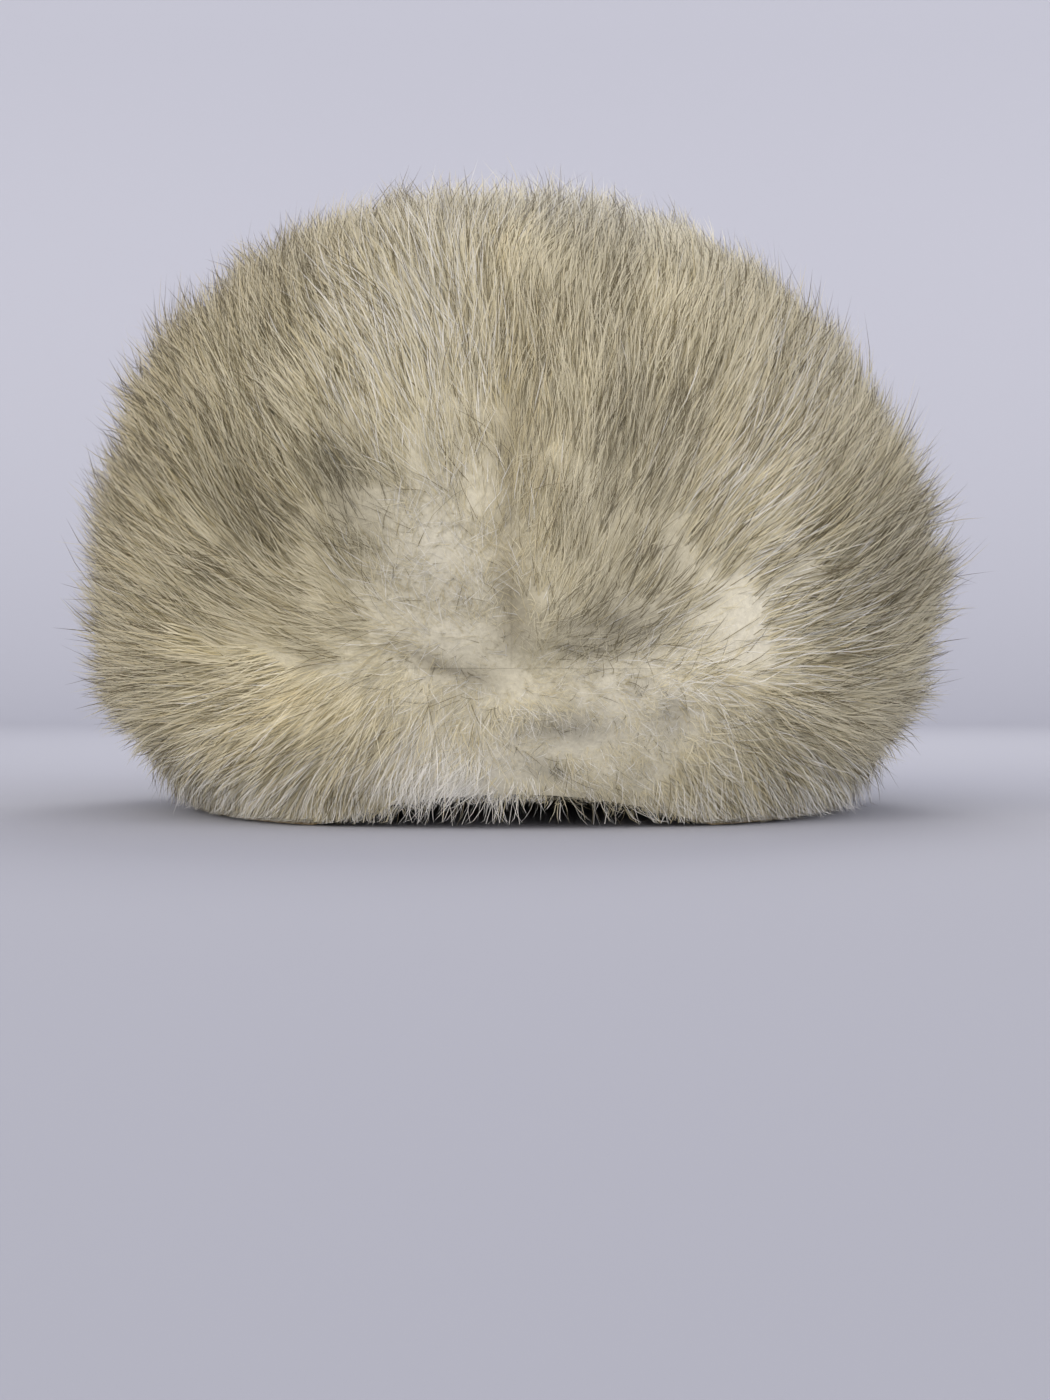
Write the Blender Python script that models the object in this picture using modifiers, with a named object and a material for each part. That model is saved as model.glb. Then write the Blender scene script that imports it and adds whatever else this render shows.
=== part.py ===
"""A deep fur cap: a crown of two pelts that meet at a centre seam, above a cuff round the head opening.

Each pelt is a leather wall with a layer of fur on it, and the fur is a dense underfur with locks fused to
it. The cap stands on its rim at z = 0, with +Z up. Its back faces -Y, and the whorl there, low on the centre
seam, is what all the fur grows away from.
"""

import math
import random
from collections import namedtuple

import bmesh
import bpy
from mathutils import Matrix, Vector

MM = 0.001

# Driving sizes, in metres.
HEAD_WIDTH = 0.152
HEAD_DEPTH = 0.188
WALL = 0.0025
SEAM_HEIGHT = 0.036
SEAM_GAP = 0.0004
FUR_TO_SKIN_GAP = 0.0003
FUR_ABOVE_FLOOR = 0.0006
FORE_AFT_SHIFT = -0.0075

# The rim rises in a low arch at the middle of the back.
ARCH_HEIGHT = 0.008
ARCH_HALF_WIDTH = 0.046
ARCH_SIDES = 96

# The fur is shortest at the whorl, and has its full depth from some way off.
WHORL_PLACE = 3.15
WHORL_SHORTNESS = 0.4
WHORL_RADIUS = 0.024
FULL_FUR_RADIUS = 0.075

# The fur is brushed down at the front of the crown and along the cuff.
FRONT_START = 0.0
FRONT_END = 0.11
FRONT_DOWN = 0.85
CUFF_LOW = 0.01
CUFF_HIGH = 0.05
CUFF_DOWN = 0.6
DOWN_OVER_AWAY = 0.6

# A lock is a flat curved taper. Its root is sunk in the underfur, and its angles are in degrees.
LOCK_SIDES = 4
LOCK_THICKNESS = 0.55
LOCK_ROOT_DEPTH = 0.45
LOCK_BEND = 20
LOCK_LEAST_WIDTH = 0.4
LENGTH_SPREAD = 0.12
LEAN_SPREAD = 5
STAGGER = 0.5
SEED = 11

RING_SIDES = 32
RING_PLACES = (0, 1, 2, 3, 4, 5, 5.5, 6, 6.5, 7, 7.5, 8, 8.5, 9)
FLAT_ANGLE = 2
SHARP_ANGLE = 35
CUT_PAST_RIM = 0.01
FAR = 0.3

Section = namedtuple("Section", "height beyond_width beyond_depth forward front_rise underfur")

# The outside of the leather, from below the rim to the top, in millimetres. Beyond_width and beyond_depth
# are added to half the head's width and depth. Front_rise lifts a section's front edge above its middle.
SECTIONS = (
    Section(height=-6, beyond_width=0, beyond_depth=0, forward=0, front_rise=0, underfur=2),
    Section(height=0, beyond_width=2.5, beyond_depth=2.5, forward=0, front_rise=0, underfur=4),
    Section(height=12, beyond_width=9, beyond_depth=8, forward=0, front_rise=0, underfur=10),
    Section(height=30, beyond_width=14.5, beyond_depth=13, forward=0, front_rise=0, underfur=14),
    Section(height=58, beyond_width=16.5, beyond_depth=15.5, forward=0, front_rise=0, underfur=15),
    Section(height=86, beyond_width=13, beyond_depth=11.5, forward=1, front_rise=1, underfur=15),
    Section(height=111, beyond_width=2, beyond_depth=0, forward=2, front_rise=2, underfur=15),
    Section(height=130, beyond_width=-14, beyond_depth=-19, forward=4, front_rise=3, underfur=14),
    Section(height=142, beyond_width=-35, beyond_depth=-44, forward=6, front_rise=3, underfur=13),
    Section(height=148, beyond_width=-62, beyond_depth=-76, forward=6, front_rise=2, underfur=12),
)

Row = namedtuple("Row", "place pairs length width lean")

# The rows of locks, from the rim to the top. Place counts along the sections above, length and width are in
# millimetres, and lean is the angle between a lock's root and the leather's normal.
ROWS = (
    Row(place=1.9, pairs=12, length=28, width=27, lean=38),
    Row(place=2.75, pairs=12, length=31, width=29, lean=30),
    Row(place=3.5, pairs=11, length=31, width=30, lean=46),
    Row(place=4.0, pairs=11, length=33, width=31, lean=45),
    Row(place=4.55, pairs=11, length=33, width=31, lean=46),
    Row(place=5.1, pairs=10, length=33, width=31, lean=46),
    Row(place=5.7, pairs=10, length=33, width=31, lean=46),
    Row(place=6.35, pairs=8, length=32, width=31, lean=46),
    Row(place=7.0, pairs=7, length=32, width=30, lean=46),
    Row(place=7.7, pairs=5, length=31, width=29, lean=46),
    Row(place=8.5, pairs=3, length=30, width=28, lean=46),
)

# A lock's width at places along its length, as shares of both, and a point follows.
LOCK_TAPER = ((0.0, 0.8), (0.4, 1.0), (0.75, 0.6))


def smooth_step(low, high, value):
    share = min(max((value - low) / (high - low), 0.0), 1.0)
    return share * share * (3.0 - 2.0 * share)


def section_at(place):
    """The section at a place along the table and its slope there, on a smooth curve through the rows."""
    last = len(SECTIONS) - 1
    index = min(int(place), last - 1)
    t = place - index
    before, start, end, after = (SECTIONS[min(max(index + k, 0), last)] for k in (-1, 0, 1, 2))
    values, slopes = [], []
    for a, b, c, d in zip(before, start, end, after):
        enter, leave = (c - a) / 2, (d - b) / 2
        bow, twist = 3 * (c - b) - 2 * enter - leave, 2 * (b - c) + enter + leave
        values.append(b + t * (enter + t * (bow + t * twist)))
        slopes.append(enter + t * (2 * bow + t * 3 * twist))
    return Section(*values), Section(*slopes)


def wall_point(place, turn, outwards):
    """A point this far outside the leather, and the leather's normal there. Turn runs round from +X."""
    section, slope = section_at(place)
    half_width = HEAD_WIDTH / 2 + section.beyond_width * MM
    half_depth = HEAD_DEPTH / 2 + section.beyond_depth * MM
    steepness = math.hypot(slope.height, slope.beyond_width)
    sideways, upward = slope.height / steepness, -slope.beyond_width / steepness
    level = Vector((math.cos(turn) / half_width, math.sin(turn) / half_depth, 0.0)).normalized()
    normal = level * sideways + Vector((0.0, 0.0, upward))
    point = Vector((
        half_width * math.cos(turn),
        half_depth * math.sin(turn) + section.forward * MM + FORE_AFT_SHIFT,
        (section.height + section.front_rise * math.sin(turn)) * MM,
    ))
    return point + normal * outwards, normal


def whorl():
    return wall_point(WHORL_PLACE, -math.pi / 2, 0.0)[0]


def fur_share(point):
    """The share of its full depth and length that the fur has here."""
    distance = (point - whorl()).length
    return WHORL_SHORTNESS + (1 - WHORL_SHORTNESS) * smooth_step(WHORL_RADIUS, FULL_FUR_RADIUS, distance)


def underfur_depth(place, turn):
    skin, _ = wall_point(place, turn, 0.0)
    return section_at(place)[0].underfur * MM * fur_share(skin)


def fur_flow(point, normal):
    """The way the fur leans along the leather: away from the whorl, and down at the front and the cuff."""
    away = (point - whorl()).normalized()
    down = FRONT_DOWN * smooth_step(FRONT_START, FRONT_END, point.y)
    down += CUFF_DOWN * (1 - smooth_step(CUFF_LOW, CUFF_HIGH, point.z))
    flow = away * (1 - DOWN_OVER_AWAY * min(down, 1.0)) - Vector((0.0, 0.0, down))
    return (flow - normal * flow.dot(normal)).normalized()


def material(name, colour, roughness):
    finish = bpy.data.materials.new(name)
    finish.use_nodes = True
    shader = finish.node_tree.nodes["Principled BSDF"]
    shader.inputs["Base Color"].default_value = (*colour, 1.0)
    shader.inputs["Roughness"].default_value = roughness
    shader.inputs["Metallic"].default_value = 0.0
    return finish


def add_object(name, mesh, collection):
    shape = bpy.data.objects.new(name, mesh)
    collection.objects.link(shape)
    return shape


def as_guide(shape):
    """Marks a cutter, or a shape that others are made from."""
    shape.hide_render = True
    shape.display_type = "WIRE"
    return shape


def mesh_from(name, shape):
    bmesh.ops.recalc_face_normals(shape, faces=shape.faces)
    mesh = bpy.data.meshes.new(name)
    shape.to_mesh(mesh)
    shape.free()
    return mesh


def loft(name, rings, closed_start=True, tip=None):
    """A skin over rings of points. It ends in a flat face, or in a point where a tip is given."""
    shape = bmesh.new()
    loops = [[shape.verts.new(point) for point in ring] for ring in rings]
    sides = len(loops[0])
    for lower, upper in zip(loops, loops[1:]):
        for i in range(sides):
            shape.faces.new((lower[i], lower[i - 1], upper[i - 1], upper[i]))
    if closed_start:
        shape.faces.new(loops[0])
    if tip is None:
        shape.faces.new(list(reversed(loops[-1])))
    else:
        point = shape.verts.new(tip)
        for i in range(sides):
            shape.faces.new((loops[-1][i], loops[-1][i - 1], point))
    return mesh_from(name, shape)


def dome_rings(outwards):
    """Rings from below the rim to the top, each point as far outside the leather as outwards says."""
    turns = [2 * math.pi * i / RING_SIDES for i in range(RING_SIDES)]
    return [
        [wall_point(place, turn, outwards(place, turn))[0] for turn in turns] for place in RING_PLACES
    ]


def heading(normal, flow, angle):
    return normal * math.cos(math.radians(angle)) + flow * math.sin(math.radians(angle))


def lock(root, normal, flow, length, width, lean):
    """One lock: flat sections that start on the root and bend over along the flow to a point."""
    across = normal.cross(flow).normalized()
    centre = root.copy()
    reached = 0.0
    rings = []
    for share, girth in LOCK_TAPER:
        way = heading(normal, flow, lean + LOCK_BEND * (share + reached) / 2)
        centre = centre + way * length * (share - reached)
        reached = share
        upright = heading(normal, flow, lean + LOCK_BEND * share).cross(across)
        ring = []
        for i in range(LOCK_SIDES):
            turn = 2 * math.pi * i / LOCK_SIDES
            side = across * math.cos(turn) + upright * LOCK_THICKNESS * math.sin(turn)
            ring.append(centre + side * width * girth / 2)
        rings.append(ring)
    way = heading(normal, flow, lean + LOCK_BEND * (1 + reached) / 2)
    return loft("lock", rings, tip=centre + way * length * (1 - reached))


def mirrored(vector):
    return Vector((-vector.x, vector.y, vector.z))


def add_locks(collection):
    """Every row's locks, laid out on the right half and mirrored onto the left."""
    chance = random.Random(SEED)
    for number, row in enumerate(ROWS):
        start = STAGGER / 2 + STAGGER * (number % 2)
        for pair in range(row.pairs):
            turn = math.pi * ((pair + start) / row.pairs - 0.5)
            skin, normal = wall_point(row.place, turn, 0.0)
            share = fur_share(skin)
            root = skin + normal * LOCK_ROOT_DEPTH * underfur_depth(row.place, turn)
            flow = fur_flow(root, normal)
            length = row.length * MM * share * chance.uniform(1 - LENGTH_SPREAD, 1 + LENGTH_SPREAD)
            width = row.width * MM * (LOCK_LEAST_WIDTH + (1 - LOCK_LEAST_WIDTH) * share)
            lean = row.lean + chance.uniform(-LEAN_SPREAD, LEAN_SPREAD)
            right = lock(root, normal, flow, length, width, lean)
            left = lock(mirrored(root), mirrored(normal), mirrored(flow), length, width, lean)
            for mesh in (right, left):
                as_guide(add_object("lock", mesh, collection))


def box_cutter(name, low, high, collection):
    shape = bmesh.new()
    bmesh.ops.create_cube(shape, size=1.0)
    low, high = Vector(low), Vector(high)
    bmesh.ops.scale(shape, vec=high - low, verts=shape.verts)
    bmesh.ops.translate(shape, vec=(low + high) / 2, verts=shape.verts)
    return as_guide(add_object(name, mesh_from(name, shape), collection))


def arch_cutter(collection):
    """A wide cylinder, lying along Y at the back, whose top is the arch under the rim."""
    radius = (ARCH_HALF_WIDTH**2 + ARCH_HEIGHT**2) / (2 * ARCH_HEIGHT)
    shape = bmesh.new()
    bmesh.ops.create_cone(
        shape, cap_ends=True, segments=ARCH_SIDES, radius1=radius, radius2=radius, depth=FAR
    )
    lying = Matrix.Rotation(math.radians(90), 3, "X")
    bmesh.ops.rotate(shape, cent=(0, 0, 0), matrix=lying, verts=shape.verts)
    bmesh.ops.translate(shape, vec=(0, -FAR / 2, ARCH_HEIGHT - radius), verts=shape.verts)
    return as_guide(add_object("rim_arch", mesh_from("rim_arch", shape), collection))


def boolean(shape, operation, tool, solver="EXACT"):
    step = shape.modifiers.new(operation.lower(), "BOOLEAN")
    step.operation = operation
    step.solver = solver
    if isinstance(tool, bpy.types.Collection):
        step.operand_type = "COLLECTION"
        step.collection = tool
    else:
        step.object = tool


def apply_modifiers(shape):
    bpy.context.view_layer.update()
    graph = bpy.context.evaluated_depsgraph_get()
    shape.data = bpy.data.meshes.new_from_object(shape.evaluated_get(graph))
    shape.modifiers.clear()


def bodies_of(shape):
    """The vertices of each connected body of a bmesh, smallest body first."""
    unseen = set(shape.verts)
    bodies = []
    while unseen:
        body, fresh = set(), [unseen.pop()]
        while fresh:
            vertex = fresh.pop()
            body.add(vertex)
            near = {edge.other_vert(vertex) for edge in vertex.link_edges} & unseen
            unseen -= near
            fresh.extend(near)
        bodies.append(body)
    return sorted(bodies, key=len)


def clean(mesh):
    """Drops the tips of locks that a cut has left loose, and the needless edges on flat faces."""
    shape = bmesh.new()
    shape.from_mesh(mesh)
    for body in bodies_of(shape)[:-1]:
        bmesh.ops.delete(shape, geom=list(body), context="VERTS")
    flat = math.radians(FLAT_ANGLE)
    bmesh.ops.dissolve_limit(shape, angle_limit=flat, verts=shape.verts, edges=shape.edges)
    bmesh.ops.triangulate(shape, faces=shape.faces)
    shape.to_mesh(mesh)
    shape.free()


def add_piece(name, base, cuts, finish, collection):
    """One sub-part: a copy of the base, cut in turn. Each cut is an operation, a cutter and a solver."""
    shape = add_object(name, base.data.copy(), collection)
    for operation, tool, solver in cuts:
        boolean(shape, operation, tool, solver)
    apply_modifiers(shape)
    clean(shape.data)
    shape.data.shade_smooth()
    shape.data.set_sharp_from_angle(angle=math.radians(SHARP_ANGLE))
    shape.data.materials.clear()
    shape.data.materials.append(finish)
    return shape


def add_mirrored(name, original, collection):
    """The same sub-part on the other side of the centre seam."""
    shape = bmesh.new()
    shape.from_mesh(original.data)
    bmesh.ops.scale(shape, vec=(-1.0, 1.0, 1.0), verts=shape.verts)
    bmesh.ops.reverse_faces(shape, faces=shape.faces)
    mesh = original.data.copy()
    shape.to_mesh(mesh)
    shape.free()
    return add_object(name, mesh, collection)


def leather_dome(collection):
    """The whole leather wall, from below the rim, before it is cut into pelts."""
    dome = add_object("leather_dome", loft("leather_dome", dome_rings(lambda *_: 0.0), False), collection)
    wall = dome.modifiers.new("wall", "SOLIDIFY")
    wall.thickness = WALL
    wall.offset = -1.0
    wall.use_even_offset = True
    apply_modifiers(dome)
    return as_guide(dome)


def fur_dome(locks, collection):
    """The whole fur: the underfur with its locks, hollowed to just outside the leather."""
    rings = dome_rings(lambda *_: FUR_TO_SKIN_GAP)
    rings.insert(0, [point - Vector((0.0, 0.0, CUT_PAST_RIM)) for point in rings[0]])
    hollow = as_guide(add_object("hollow", loft("hollow", rings), collection))
    dome = add_object("fur_dome", loft("fur_dome", dome_rings(underfur_depth)), collection)
    boolean(dome, "UNION", locks)
    boolean(dome, "DIFFERENCE", hollow)
    apply_modifiers(dome)
    return as_guide(dome)


def main():
    for thing in list(bpy.data.objects):
        bpy.data.objects.remove(thing, do_unlink=True)
    cap = bpy.data.collections.new("fur_cap")
    cutters = bpy.data.collections.new("cutters")
    locks = bpy.data.collections.new("locks")
    for collection in (cap, cutters, locks):
        bpy.context.scene.collection.children.link(collection)
    leather = material("sueded pelt leather", (0.55, 0.42, 0.28), 0.85)
    cream_fur = material("cream fur", (0.60, 0.56, 0.42), 0.6)

    add_locks(locks)
    skin = leather_dome(cutters)
    fur = fur_dome(locks, cutters)

    above_seam = SEAM_HEIGHT + SEAM_GAP / 2
    below_seam = SEAM_HEIGHT - SEAM_GAP / 2
    left = box_cutter("left", (-FAR, -FAR, above_seam), (-SEAM_GAP / 2, FAR, FAR), cutters)
    below = box_cutter("below", (-FAR, -FAR, 0.0), (FAR, FAR, below_seam), cutters)
    above_floor = box_cutter("above_floor", (-FAR, -FAR, FUR_ABOVE_FLOOR), (FAR, FAR, below_seam), cutters)
    arch = arch_cutter(cutters)

    cuts = (("INTERSECT", below, "EXACT"), ("DIFFERENCE", arch, "EXACT"))
    add_piece("cuff_pelt", skin, cuts, leather, cap)
    left_pelt = add_piece("crown_left_pelt", skin, (("INTERSECT", left, "EXACT"),), leather, cap)
    add_mirrored("crown_right_pelt", left_pelt, cap)

    # The crossing locks are too many small faces for the exact solver to cut.
    cuts = (("INTERSECT", above_floor, "MANIFOLD"), ("DIFFERENCE", arch, "MANIFOLD"))
    add_piece("cuff_fur", fur, cuts, cream_fur, cap)
    left_fur = add_piece("crown_left_fur", fur, (("INTERSECT", left, "MANIFOLD"),), cream_fur, cap)
    add_mirrored("crown_right_fur", left_fur, cap)


main()
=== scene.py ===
"""The look of a deep fur cap: leather pelts, the felted underwool on them, fine hair and long guard hair.

Every hair is a thin tapered ribbon, rooted on a smooth copy of the pelts' outside. It leans along one flow
that leaves a whorl low on the back seam, as the fur in the photograph does.
"""

import math
from collections import namedtuple

import bpy
import numpy as np
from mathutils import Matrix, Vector
from mathutils.kdtree import KDTree


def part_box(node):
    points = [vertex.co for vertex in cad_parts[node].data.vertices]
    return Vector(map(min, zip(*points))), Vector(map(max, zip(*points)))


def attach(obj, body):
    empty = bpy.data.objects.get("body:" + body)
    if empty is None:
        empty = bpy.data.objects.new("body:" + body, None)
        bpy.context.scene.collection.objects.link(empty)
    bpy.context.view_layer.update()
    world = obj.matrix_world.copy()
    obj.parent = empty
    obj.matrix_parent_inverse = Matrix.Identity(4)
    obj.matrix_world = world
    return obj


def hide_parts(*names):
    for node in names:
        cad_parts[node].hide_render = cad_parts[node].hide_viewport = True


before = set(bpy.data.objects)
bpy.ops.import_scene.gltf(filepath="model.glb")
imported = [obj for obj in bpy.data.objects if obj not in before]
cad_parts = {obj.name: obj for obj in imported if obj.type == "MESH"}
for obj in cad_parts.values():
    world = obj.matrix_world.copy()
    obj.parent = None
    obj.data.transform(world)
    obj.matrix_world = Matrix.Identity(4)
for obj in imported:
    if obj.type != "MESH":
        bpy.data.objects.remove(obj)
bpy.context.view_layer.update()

MM = 0.001
BODY = "root"

# The photograph's frame, and the camera that sees the cap as it does.
PHOTO_WIDTH = 1050
PHOTO_HEIGHT = 1400
FOCAL_PIXELS = 1990.0
CAMERA_PLACE = Vector((0.003, -0.55, 0.029))
SENSOR_HEIGHT = 24.0

# The whorl that the fur grows away from, as a pixel of the photograph.
WHORL_PIXEL = (512, 655)

PELT_WALL = 2.5 * MM
UNDERWOOL_WALL = 2 * MM
PIECE_GAP = 0.4 * MM
WOOL_GAP = 0.04 * MM
FLOOR_CLEARANCE = 0.4 * MM
LOWEST_WOOL = 1.8 * MM
BELOW_RIM = 60 * MM
ON_PLANE = 0.002 * MM
CREASE = math.radians(35)
ARCH_HALF_WIDTH = 46 * MM
ARCH_HEIGHT = 8 * MM
FAR = 0.3
SEED = 7

Part = namedtuple("Part", "name side above_seam hair_share")

PARTS = (
    Part("crown_left", side=-1, above_seam=True, hair_share=1.0),
    Part("crown_right", side=1, above_seam=True, hair_share=1.0),
    Part("cuff", side=0, above_seam=False, hair_share=0.65),
)

seam_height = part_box("cuff_pelt")[1].z
arch_radius = (ARCH_HALF_WIDTH**2 + ARCH_HEIGHT**2) / (2 * ARCH_HEIGHT)
chance = np.random.default_rng(SEED)


def deselect_all():
    if bpy.context.mode != "OBJECT":
        bpy.ops.object.mode_set(mode="OBJECT")
    bpy.ops.object.select_all(action="DESELECT")


def only(shape):
    """Makes this the one selected and active object."""
    deselect_all()
    shape.select_set(True)
    bpy.context.view_layer.objects.active = shape


def select_points(shape, test):
    """Opens the mesh in edit mode with only the points that pass the test selected."""
    only(shape)
    bpy.ops.object.mode_set(mode="EDIT")
    bpy.ops.mesh.select_mode(type="VERT")
    bpy.ops.mesh.select_all(action="DESELECT")
    bpy.ops.object.mode_set(mode="OBJECT")
    for vertex in shape.data.vertices:
        vertex.select = test(vertex.co)
    bpy.ops.object.mode_set(mode="EDIT")


def apply_modifier(shape, kind, **settings):
    only(shape)
    step = shape.modifiers.new(kind.lower(), kind)
    for name, value in settings.items():
        setattr(step, name, value)
    bpy.ops.object.modifier_apply(modifier=step.name)


def bake_place(shape):
    only(shape)
    bpy.ops.object.transform_apply(location=True, rotation=True, scale=True)


def cut_away(shape, point, keep_towards):
    """Cuts the mesh at a plane and drops what lies behind it."""
    only(shape)
    bpy.ops.object.mode_set(mode="EDIT")
    bpy.ops.mesh.select_all(action="SELECT")
    bpy.ops.mesh.bisect(plane_co=point, plane_no=keep_towards, clear_inner=True, threshold=ON_PLANE)
    bpy.ops.object.mode_set(mode="OBJECT")


def vertex_array(mesh, field="co"):
    values = np.empty(len(mesh.vertices) * 3, np.float32)
    mesh.vertices.foreach_get(field, values)
    return values.reshape(-1, 3).astype(float)


def move_points(mesh, points):
    mesh.vertices.foreach_set("co", points.astype(np.float32).ravel())
    mesh.update()


def unit(vectors):
    return vectors / np.maximum(np.linalg.norm(vectors, axis=-1, keepdims=True), 1e-12)


def smooth_step(low, high, value):
    share = np.clip((value - low) / (high - low), 0.0, 1.0)
    return share * share * (3.0 - 2.0 * share)


def along(a, b):
    """The dot products of two lists of vectors, as a column."""
    return np.sum(a * b, axis=-1, keepdims=True)


def ripple(points, wavelength, seed, waves=7):
    """Smooth noise from about -1 to 1: a sum of plane waves in random directions."""
    draw = np.random.default_rng(seed)
    ways = unit(draw.normal(size=(waves, 3))) * draw.uniform(0.7, 1.4, (waves, 1))
    phases = draw.uniform(0, 2 * math.pi, waves)
    total = np.sin(points @ ways.T * (2 * math.pi / wavelength) + phases).sum(axis=1)
    return total / math.sqrt(waves * 2)


def photo_place(points):
    """Where the camera sees points, in pixels of the photograph."""
    offset = points - np.array(CAMERA_PLACE)
    scale = FOCAL_PIXELS / offset[:, 1]
    return np.stack((PHOTO_WIDTH / 2 + offset[:, 0] * scale, PHOTO_HEIGHT / 2 - offset[:, 2] * scale), axis=1)


def pelt_hull():
    """The tight skin round all three pelts, with the seams and the arch filled, and the rim drawn on downwards."""
    deselect_all()
    for name in ("crown_left_pelt", "crown_right_pelt", "cuff_pelt"):
        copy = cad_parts[name].copy()
        copy.data = copy.data.copy()
        copy.parent = None
        bpy.context.scene.collection.objects.link(copy)
        copy.select_set(True)
        bpy.context.view_layer.objects.active = copy
    bpy.ops.object.join()
    hull = bpy.context.active_object
    bpy.ops.object.mode_set(mode="EDIT")
    bpy.ops.mesh.select_all(action="SELECT")
    bpy.ops.mesh.convex_hull()
    select_points(hull, lambda place: place.z < 0.5 * MM)
    bpy.ops.mesh.extrude_region_move(TRANSFORM_OT_translate={"value": (0, 0, -BELOW_RIM)})
    bpy.ops.object.mode_set(mode="OBJECT")
    return hull


def smooth_pelt():
    """The outside of the pelts as one smooth open dome, which the leather and the fur are made from."""
    hull = pelt_hull()
    deselect_all()
    bpy.ops.mesh.primitive_uv_sphere_add(segments=96, ring_count=64, radius=0.17, location=(0, -0.0075, 0.03))
    dome = bpy.context.active_object
    dome.name = "smooth_pelt"
    bake_place(dome)
    apply_modifier(
        dome, "SHRINKWRAP", target=hull, wrap_method="PROJECT",
        use_negative_direction=True, use_positive_direction=False,
    )
    cut_away(dome, (0, 0, 0.02 * MM), (0, 0, 1))
    apply_modifier(dome, "LAPLACIANSMOOTH", iterations=12, lambda_factor=1.0, lambda_border=0.0)
    only(dome)
    bpy.ops.object.shade_smooth()
    bpy.data.objects.remove(hull, do_unlink=True)
    return dome


dome = smooth_pelt()
dome_points = vertex_array(dome.data)
dome_normals = vertex_array(dome.data, "normal")


def nearest_on_dome(pixel):
    """The point of the dome's back that the camera sees at a pixel."""
    seen = dome_normals[:, 1] < 0
    gap = np.linalg.norm(photo_place(dome_points) - pixel, axis=1)
    return dome_points[np.argmin(np.where(seen, gap, np.inf))]


whorl = nearest_on_dome(WHORL_PIXEL)

# How far the fur stands out from the leather: on the sides, on the top, at the rim, and its share at the whorl.
SIDE_REACH = 17 * MM
TOP_REACH = 13.2 * MM
RIM_REACH = 4.5 * MM
LEAST_REACH = 4 * MM
RIM_HEIGHT = 40 * MM
LEFT_FULLNESS = 4.5 * MM
WHORL_SHARE = 0.45
WHORL_RADIUS = 24 * MM
FULL_FUR_RADIUS = 70 * MM

# The underwool fills this share of that, and the hairs start a little inside it.
UNDERWOOL_SHARE = 0.7
ROOT_DEPTH = 1.0 * MM

# The fur lies level at the whorl's height, and this much lower at the sides.
LEVEL_DROP = 11 * MM
SIDE_START = 20 * MM
SIDE_END = 90 * MM


def fur_share(points):
    distance = np.linalg.norm(points - whorl, axis=1)
    return WHORL_SHARE + (1 - WHORL_SHARE) * smooth_step(WHORL_RADIUS, FULL_FUR_RADIUS, distance)


def fur_reach(points, normals):
    """How far the dense fur stands out from the leather."""
    top = smooth_step(0.05, 0.8, normals[:, 2])
    shoulder = normals[:, 0] * np.maximum(normals[:, 2], 0)
    reach = (SIDE_REACH + (TOP_REACH - SIDE_REACH) * top - LEFT_FULLNESS * shoulder) * fur_share(points)
    rim = smooth_step(0, RIM_HEIGHT, points[:, 2])
    pixels = photo_place(points + normals * reach[:, None] * 0.8)
    return np.maximum(RIM_REACH + (reach - RIM_REACH) * rim + MM * patched("reach", pixels, normals), LEAST_REACH)


def fur_flow(points, normals):
    """The way that the fur leans along the leather."""
    offset = points - whorl
    offset[:, 2] += LEVEL_DROP * smooth_step(SIDE_START, SIDE_END, np.abs(points[:, 0]))
    flow = unit(offset)
    near = np.exp(-((np.linalg.norm(offset, axis=1) / (26 * MM)) ** 2))
    parting = seam_height + 7 * MM - 17 * MM * smooth_step(-0.008, 0.008, points[:, 0])
    upwards = np.tanh((points[:, 2] - parting) / (4 * MM))
    flow[:, 2] += 0.35 * np.tanh(offset[:, 2] / (18 * MM)) + 1.3 * near * upwards
    down = 0.85 * smooth_step(0.0, 0.11, points[:, 1]) + 0.85 * smooth_step(0.024, 0.003, points[:, 2])
    flow *= (1 - 0.6 * np.minimum(down, 1.0))[:, None]
    flow[:, 2] -= down
    flow = unit(flow - normals * along(flow, normals))
    side = np.cross(normals, flow)
    swirl = 0.22 * ripple(points, 70 * MM, 3) + 0.12 * ripple(points, 24 * MM, 4)
    return unit(flow + side * swirl[:, None])


Patch = namedtuple("Patch", "x y wide high tilt grey honey white tone felt hole reach", defaults=(0,) * 7)

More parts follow.
